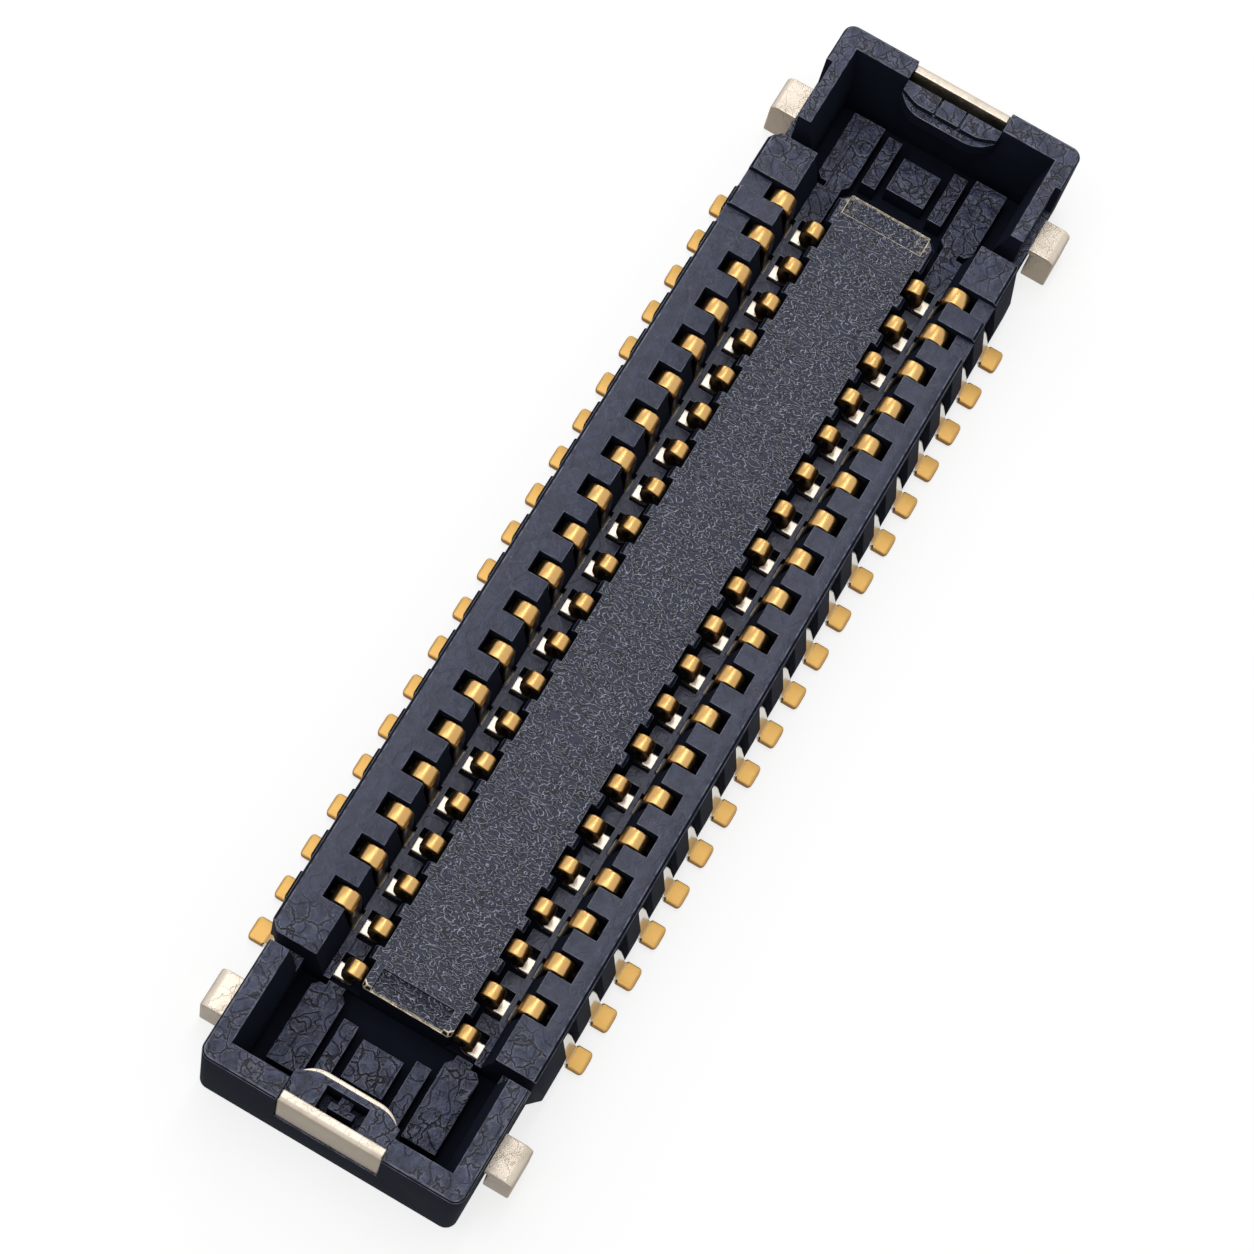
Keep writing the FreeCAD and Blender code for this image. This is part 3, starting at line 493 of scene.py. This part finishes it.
def softened(node, width):
    """Mesh of a node in millimetres: doubles merged, flat triangles joined into whole faces, and every outer
    edge sharper than SHARP rounded to the width. The rounding faces carry material number one, the rest
    nought."""
    work = bmesh.new()
    work.from_mesh(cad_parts[node].data)
    bmesh.ops.scale(work, vec=Vector((1 / MM,) * 3), verts=work.verts)
    bmesh.ops.remove_doubles(work, verts=work.verts, dist=SAME_POINT)
    bmesh.ops.dissolve_limit(work, angle_limit=math.radians(FLAT), verts=work.verts, edges=work.edges)
    for face in work.faces:
        face.material_index = 0
    sharp = [edge for edge in work.edges if edge.is_manifold and edge.is_convex
             and edge.calc_face_angle(0.0) > math.radians(SHARP)]
    bmesh.ops.bevel(work, geom=sharp, offset=width / MM, offset_type="OFFSET", segments=2, profile=0.5,
                    affect="EDGES", clamp_overlap=False, material=1)
    bmesh.ops.recalc_face_normals(work, faces=work.faces)
    mesh = bpy.data.meshes.new(node)
    work.to_mesh(mesh)
    work.free()
    return mesh


def face_facts(mesh):
    """Arrays of a mesh's face centres and normals, and of its faces' material numbers."""
    count = len(mesh.polygons)
    centres, normals, numbers = np.zeros(count * 3), np.zeros(count * 3), np.zeros(count, dtype=np.int32)
    mesh.polygons.foreach_get("center", centres)
    mesh.polygons.foreach_get("normal", normals)
    mesh.polygons.foreach_get("material_index", numbers)
    return centres.reshape(-1, 3), normals.reshape(-1, 3), numbers


def finish_mesh(mesh, materials, numbers, angle):
    """Brings a millimetre mesh to metres, sets its materials, and shades as one what turns less than the
    angle."""
    mesh.transform(Matrix.Scale(MM, 4))
    for material in materials:
        mesh.materials.append(material)
    mesh.polygons.foreach_set("material_index", numbers.astype(np.int32))
    mesh.polygons.foreach_set("use_smooth", np.ones(len(mesh.polygons), dtype=bool))
    mesh.set_sharp_from_angle(angle=math.radians(angle))
    mesh.update()


def strip_line(points, bends, steps):
    """Middle line of a bent strip. Every inner corner becomes an arc of its radius, divided into steps, and
    the runs between the arcs stay straight. Returns an array of (y, z) points."""
    points = np.array(points, dtype=float)
    line = [points[:1]]
    for before, here, after, radius in zip(points, points[1:], points[2:], bends):
        back = (before - here) / np.linalg.norm(before - here)
        ahead = (after - here) / np.linalg.norm(after - here)
        half = math.acos(float(np.clip(back @ ahead, -1, 1))) / 2
        middle = (back + ahead) / np.linalg.norm(back + ahead)
        centre = here + middle * radius / math.sin(half)
        start = here + back * radius / math.tan(half) - centre
        end = here + ahead * radius / math.tan(half) - centre
        sweep = np.linspace(0, 1, steps + 1)[:, None]
        turn = math.pi - 2 * half
        arc = (np.sin((1 - sweep) * turn) * start + np.sin(sweep * turn) * end) / math.sin(turn)
        line.append(centre + arc)
    line.append(points[-1:])
    return np.concatenate(line)


def densified(line, gap):
    """The line with its long runs divided so that no two neighbours are further apart than the gap."""
    pieces = [line[:1]]
    for first, second in zip(line, line[1:]):
        count = max(1, int(math.ceil(np.linalg.norm(second - first) / gap)))
        share = np.arange(1, count + 1)[:, None] / count
        pieces.append(first + (second - first) * share)
    return np.concatenate(pieces)


def with_close_ends(line, half_thick):
    """The line with more points near its two ends, where the section shrinks."""
    steps = np.array([half_thick * share for share in END_SHARES])
    first = line[0] + (line[1] - line[0]) / np.linalg.norm(line[1] - line[0]) * steps[:, None]
    last = line[-1] + (line[-2] - line[-1]) / np.linalg.norm(line[-2] - line[-1]) * steps[::-1, None]
    keep_start = np.linalg.norm(line - line[0], axis=1) > steps[-1] * END_CLEARANCE
    keep_end = np.linalg.norm(line - line[-1], axis=1) > steps[-1] * END_CLEARANCE
    return np.concatenate([line[:1], first, line[keep_start & keep_end], last, line[-1:]])


def rounded_section(steps):
    """Corner directions of a rounded rectangle, quarter by quarter: the sign of each corner across and
    through the strip, and the unit vector from the corner's centre."""
    quarters = [np.linspace(quarter, quarter + 1, steps + 1) for quarter in range(4)]
    angles = np.concatenate(quarters) * math.pi / 2
    corner = np.repeat([(1, 1), (-1, 1), (-1, -1), (1, -1)], steps + 1, axis=0)
    return corner, np.stack([np.cos(angles), np.sin(angles)], axis=1)


def quarter_circle_loss(radius, to_end):
    """What a rounded corner takes off at each distance from the end: nought further in than the radius."""
    short = np.clip(radius - to_end, 0, None)
    return radius - np.sqrt(np.clip(radius ** 2 - short ** 2, 0, None))


def strip_mesh(name, x, side, line, widths, settings):
    """Strip carried along its middle line. At each point the section is a rounded rectangle: its width runs
    along X and its thickness along the line's normal. Both shrink along a quarter circle over the last
    stretch at each end, which rounds the cut ends, and a flat face closes each of them."""
    along = np.gradient(line, axis=0)
    along /= np.linalg.norm(along, axis=1)[:, None]
    normal = np.stack([-along[:, 1], along[:, 0]], axis=1)
    travelled = np.concatenate([[0], np.cumsum(np.linalg.norm(np.diff(line, axis=0), axis=1))])
    radius = settings.edge_radius / MM
    half_thick = settings.thickness / MM / 2
    to_end = np.minimum(travelled, travelled[-1] - travelled)
    lost_width = quarter_circle_loss(PLAN_SHARE * radius, to_end)
    lost_thick = END_LOSS * quarter_circle_loss(radius, to_end)
    corner, out = rounded_section(QUARTER_STEPS)
    across = (widths / 2 - lost_width)[:, None] - radius
    through = np.maximum(half_thick - lost_thick, radius)[:, None] - radius
    shrink = (1 - lost_thick / radius)[:, None]
    u = corner[None, :, 0] * across + out[None, :, 0] * radius * shrink
    v = corner[None, :, 1] * through + out[None, :, 1] * radius * shrink
    y = line[:, None, 0] + normal[:, None, 0] * v
    z = line[:, None, 1] + normal[:, None, 1] * v
    verts = np.stack([x + u, side * y, z], axis=2).reshape(-1, 3)
    rows, columns = u.shape
    ring = np.arange(columns)
    start = (np.arange(rows - 1) * columns)[:, None]
    following = (ring + 1) % columns
    near, beside = start + ring, start + following
    quads = np.stack([near, beside, beside + columns, near + columns], axis=2).reshape(-1, 4)
    if side > 0:
        quads = quads[:, ::-1]
    mesh = bpy.data.meshes.new(name)
    caps = [list(ring), list(ring + (rows - 1) * columns)]
    caps = [caps[0] if side > 0 else caps[0][::-1], caps[1][::-1] if side > 0 else caps[1]]
    mesh.from_pydata(verts, [], quads.tolist() + caps)
    return mesh


def contact_mesh(node, settings):
    """Contact strip at its node's place. The line is the shared route, with the outer arch at the node's top.
    The covered contact's leg and arm stand further out, and the one with no tail starts at its trimmed foot.
    The strip widens smoothly from the arm to the leg and steps out to the tail."""
    low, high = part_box(node)
    side = 1 if low.y > 0 else -1
    half_thick = settings.thickness / MM / 2
    points, bends = [list(point) for point in ROUTE], list(BENDS)
    for place in OUTER_ARCH:
        points[place][1] = high.z / MM - half_thick
    if high.z < COVERED_TOP * MM:
        for place, y in COVERED_Y.items():
            points[place][0] = y
        for place in OUTER_ARCH:
            bends[place - 1] = COVERED_BEND
    if low.z > TRIMMED_ABOVE * MM:
        points, bends = [list(TRIMMED_FOOT)] + points[AFTER_FOOT:], bends[AFTER_FOOT - 1:]
    line = with_close_ends(densified(strip_line(points, bends, BEND_STEPS), LINE_GAP), half_thick)
    leg, arm, tail = settings.leg_width / MM, settings.arm_width / MM, settings.tail_width / MM
    y = line[:, 0]
    widths = arm + (leg - arm) * np.clip((y - BOTTOM_Y) / BOTTOM_RUN, 0, 1)
    widths = widths + (tail - leg) * np.clip((y - NECK_Y) / NECK_RUN, 0, 1)
    centre = (low.x + high.x) / 2 / MM
    return strip_mesh(node.replace("contact", "strip"), centre, side, line, widths, settings)


# Operators and panel

class RECEPTACLE_OT_housing(bpy.types.Operator):
    """Rounds the moulding's edges and gives each of its areas the finish that the mould left there, with
    painted shade on upright and deep faces and painted highlights on rounded edges
    """
    bl_idname = "receptacle.housing"
    bl_label = "Dress the housing"

    def execute(self, context):
        settings = context.scene.receptacle_housing
        mesh = softened("housing", settings.edge_width)
        centres, normals, rounding = face_facts(mesh)
        x, y, z = np.abs(centres[:, 0]), np.abs(centres[:, 1]), centres[:, 2]
        rise = normals[:, 2]
        up = rise > UP
        # Material numbers: the third is painted shade, the fourth a pale painted highlight and the fifth a
        # cream painted highlight.
        moulded, wrinkled, recess_shade, edge, line = range(5)
        numbers = np.full(len(z), moulded)
        # Painted shade: faces that are not tops, and the deep groove floors, take the darker recess material.
        numbers[~up] = recess_shade
        numbers[(y < GROOVE_REACH) & (z < POCKET_TOP)] = recess_shade
        numbers[up & (x < ISLAND_REACH[0]) & (y < ISLAND_REACH[1]) & (z > ISLAND_LOW)] = wrinkled
        rounded = rounding == 1
        # Painted highlight: rounded edges above the pockets that face upward take the pale highlight.
        numbers[rounded & (z > POCKET_TOP) & (rise > SLANTED)] = edge
        # Painted highlight: the rounded edges of the island's end steps take the cream line.
        step = rounded & (x > STEP_REACH[0]) & (x < STEP_REACH[1]) & (y < STEP_SIDE)
        step &= (z > ISLAND_LOW) & (z < STEP_HIGH)
        step &= (x > STEP_OUTER) | (centres[:, 0] > 0)
        numbers[step] = line
        makers = (resin_moulded, resin_wrinkled, resin_recess_shade, resin_edge_highlight, resin_highlight_line)
        finish_mesh(mesh, [make(settings) for make in makers], numbers, SMOOTH_FOLDED)
        stand("housing_moulding", mesh, ["housing"])
        return {"FINISHED"}


class RECEPTACLE_OT_contacts(bpy.types.Operator):
    """Forms every contact as a smooth bent strip with rounded edges, at its node's place in the row"""
    bl_idname = "receptacle.contacts"
    bl_label = "Form the contacts"

    def execute(self, context):
        settings = context.scene.receptacle_strips
        gold = gold_on_strip(settings)
        for node in CONTACTS:
            mesh = contact_mesh(node, settings)
            finish_mesh(mesh, [gold], np.zeros(len(mesh.polygons)), SMOOTH_STRIP)
            stand(mesh.name, mesh, [node])
        return {"FINISHED"}


class RECEPTACLE_OT_plates(bpy.types.Operator):
    """Rounds the folded hold-down plates and gives them their tin plating"""
    bl_idname = "receptacle.plates"
    bl_label = "Dress the hold-downs"

    def execute(self, context):
        settings = context.scene.receptacle_plates
        tin = tin_on_plate(settings)
        for node in ("hold_down_near", "hold_down_far"):
            mesh = softened(node, settings.edge_width)
            finish_mesh(mesh, [tin], np.zeros(len(mesh.polygons)), SMOOTH_FOLDED)
            stand(node.replace("hold_down", "plate"), mesh, [node])
        return {"FINISHED"}


class RECEPTACLE_OT_stage(bpy.types.Operator):
    """Sets up the pale floor, the soft studio light and the camera"""
    bl_idname = "receptacle.stage"
    bl_label = "Set the stage"

    def execute(self, context):
        settings = context.scene.receptacle_stage
        scene = context.scene
        scene.view_settings.view_transform = "Standard"
        self.camera(scene)
        self.floor(scene)
        self.world(scene, settings)
        self.lamp(scene, "top_lamp", *TOP_LAMP)
        self.lamp(scene, "key_lamp", *KEY_LAMP, settings.key)
        self.lamp(scene, "rim_lamp", *RIM_LAMP)
        return {"FINISHED"}

    def camera(self, scene):
        """Camera whose axes are the photograph's right, up and backward directions, at its distance."""
        camera = bpy.data.cameras.new("camera")
        camera.lens = LENS_MM
        camera.sensor_width = SENSOR_MM
        camera.sensor_fit = "HORIZONTAL"
        camera.clip_start, camera.clip_end = CLIP_START, CLIP_END
        holder = bpy.data.objects.new("camera", camera)
        scene.collection.objects.link(holder)
        axes = (CAMERA_RIGHT, [-value for value in CAMERA_DOWN], [-value for value in CAMERA_AHEAD])
        turn = Matrix(axes).transposed()
        holder.matrix_world = Matrix.Translation(Vector(CAMERA_PLACE) * MM) @ turn.to_4x4()
        scene.camera = holder

    def floor(self, scene):
        """Flat sheet under the board plane. It shows white to the camera and in gloss, with a soft shadow."""
        reach = FLOOR_REACH * MM
        depth = -FLOOR_DROP * MM
        mesh = bpy.data.meshes.new("floor")
        mesh.from_pydata([(-reach, -reach, depth), (reach, -reach, depth), (reach, reach, depth),
                          (-reach, reach, depth)], [], [(0, 1, 2, 3)])
        material = bpy.data.materials.new("white_card")
        tree = blank_tree(material)
        strength = math_node(tree, "MULTIPLY", seen_rays(tree), FLOOR_GLOW)
        matt = add(tree, "ShaderNodeBsdfDiffuse", {"Color": (FLOOR_GREY,) * 3 + (1,)})
        glow = add(tree, "ShaderNodeEmission", {"Strength": strength})
        both = add(tree, "ShaderNodeAddShader", {0: matt.outputs[0], 1: glow.outputs[0]})
        add(tree, "ShaderNodeOutputMaterial", {"Surface": both.outputs[0]})
        mesh.materials.append(material)
        piece = bpy.data.objects.new("floor", mesh)
        scene.collection.objects.link(piece)

    def world(self, scene, settings):
        """White surroundings, at full strength where they are seen, and at the fill strength as light."""
        world = bpy.data.worlds.new("studio")
        scene.world = world
        tree = blank_tree(world)
        strength = math_node(tree, "MULTIPLY_ADD", seen_rays(tree), 1.0 - settings.fill, settings.fill)
        glow = add(tree, "ShaderNodeBackground", {"Color": (1, 1, 1, 1), "Strength": strength})
        add(tree, "ShaderNodeOutputWorld", {"Surface": glow.outputs[0]})

    def lamp(self, scene, name, place, size, radiance):
        """Lamp of the length and width in millimetres. The key lamp hangs level, and the others aim at the
        object."""
        lamp = bpy.data.lights.new(name, "AREA")
        lamp.shape = "RECTANGLE"
        lamp.size, lamp.size_y = size[0] * MM, size[1] * MM
        lamp.energy = radiance * math.pi * lamp.size * lamp.size_y
        holder = bpy.data.objects.new(name, lamp)
        scene.collection.objects.link(holder)
        holder.location = Vector(place) * MM
        if name != "key_lamp":
            holder.rotation_euler = (-Vector(place)).to_track_quat("-Z", "Y").to_euler()


class RECEPTACLE_PT_panel(bpy.types.Panel):
    """Steps and settings of the receptacle, in the order in which they run"""
    bl_idname = "RECEPTACLE_PT_panel"
    bl_label = "Receptacle"
    bl_space_type = "VIEW_3D"
    bl_region_type = "UI"
    bl_category = "Receptacle"

    def draw(self, context):
        groups = (("receptacle_housing", "receptacle.housing"), ("receptacle_strips", "receptacle.contacts"),
                  ("receptacle_plates", "receptacle.plates"), ("receptacle_stage", "receptacle.stage"))
        for group, operator in groups:
            box = self.layout.box()
            box.operator(operator)
            settings = getattr(context.scene, group)
            for name in settings.__annotations__:
                box.prop(settings, name)


GROUPS = {"receptacle_housing": ReceptacleHousing, "receptacle_strips": ReceptacleStrips,
          "receptacle_plates": ReceptaclePlates, "receptacle_stage": ReceptacleStage}
CLASSES = list(GROUPS.values()) + [RECEPTACLE_OT_housing, RECEPTACLE_OT_contacts, RECEPTACLE_OT_plates,
                                   RECEPTACLE_OT_stage, RECEPTACLE_PT_panel]


def register():
    for kind in CLASSES:
        bpy.utils.register_class(kind)
    for name, group in GROUPS.items():
        setattr(bpy.types.Scene, name, bpy.props.PointerProperty(type=group))


def unregister():
    for name in GROUPS:
        delattr(bpy.types.Scene, name)
    for kind in reversed(CLASSES):
        bpy.utils.unregister_class(kind)


def main():
    """Runs every step in order."""
    register()
    bpy.ops.receptacle.housing()
    bpy.ops.receptacle.contacts()
    bpy.ops.receptacle.plates()
    bpy.ops.receptacle.stage()


if __name__ == "__main__":
    main()
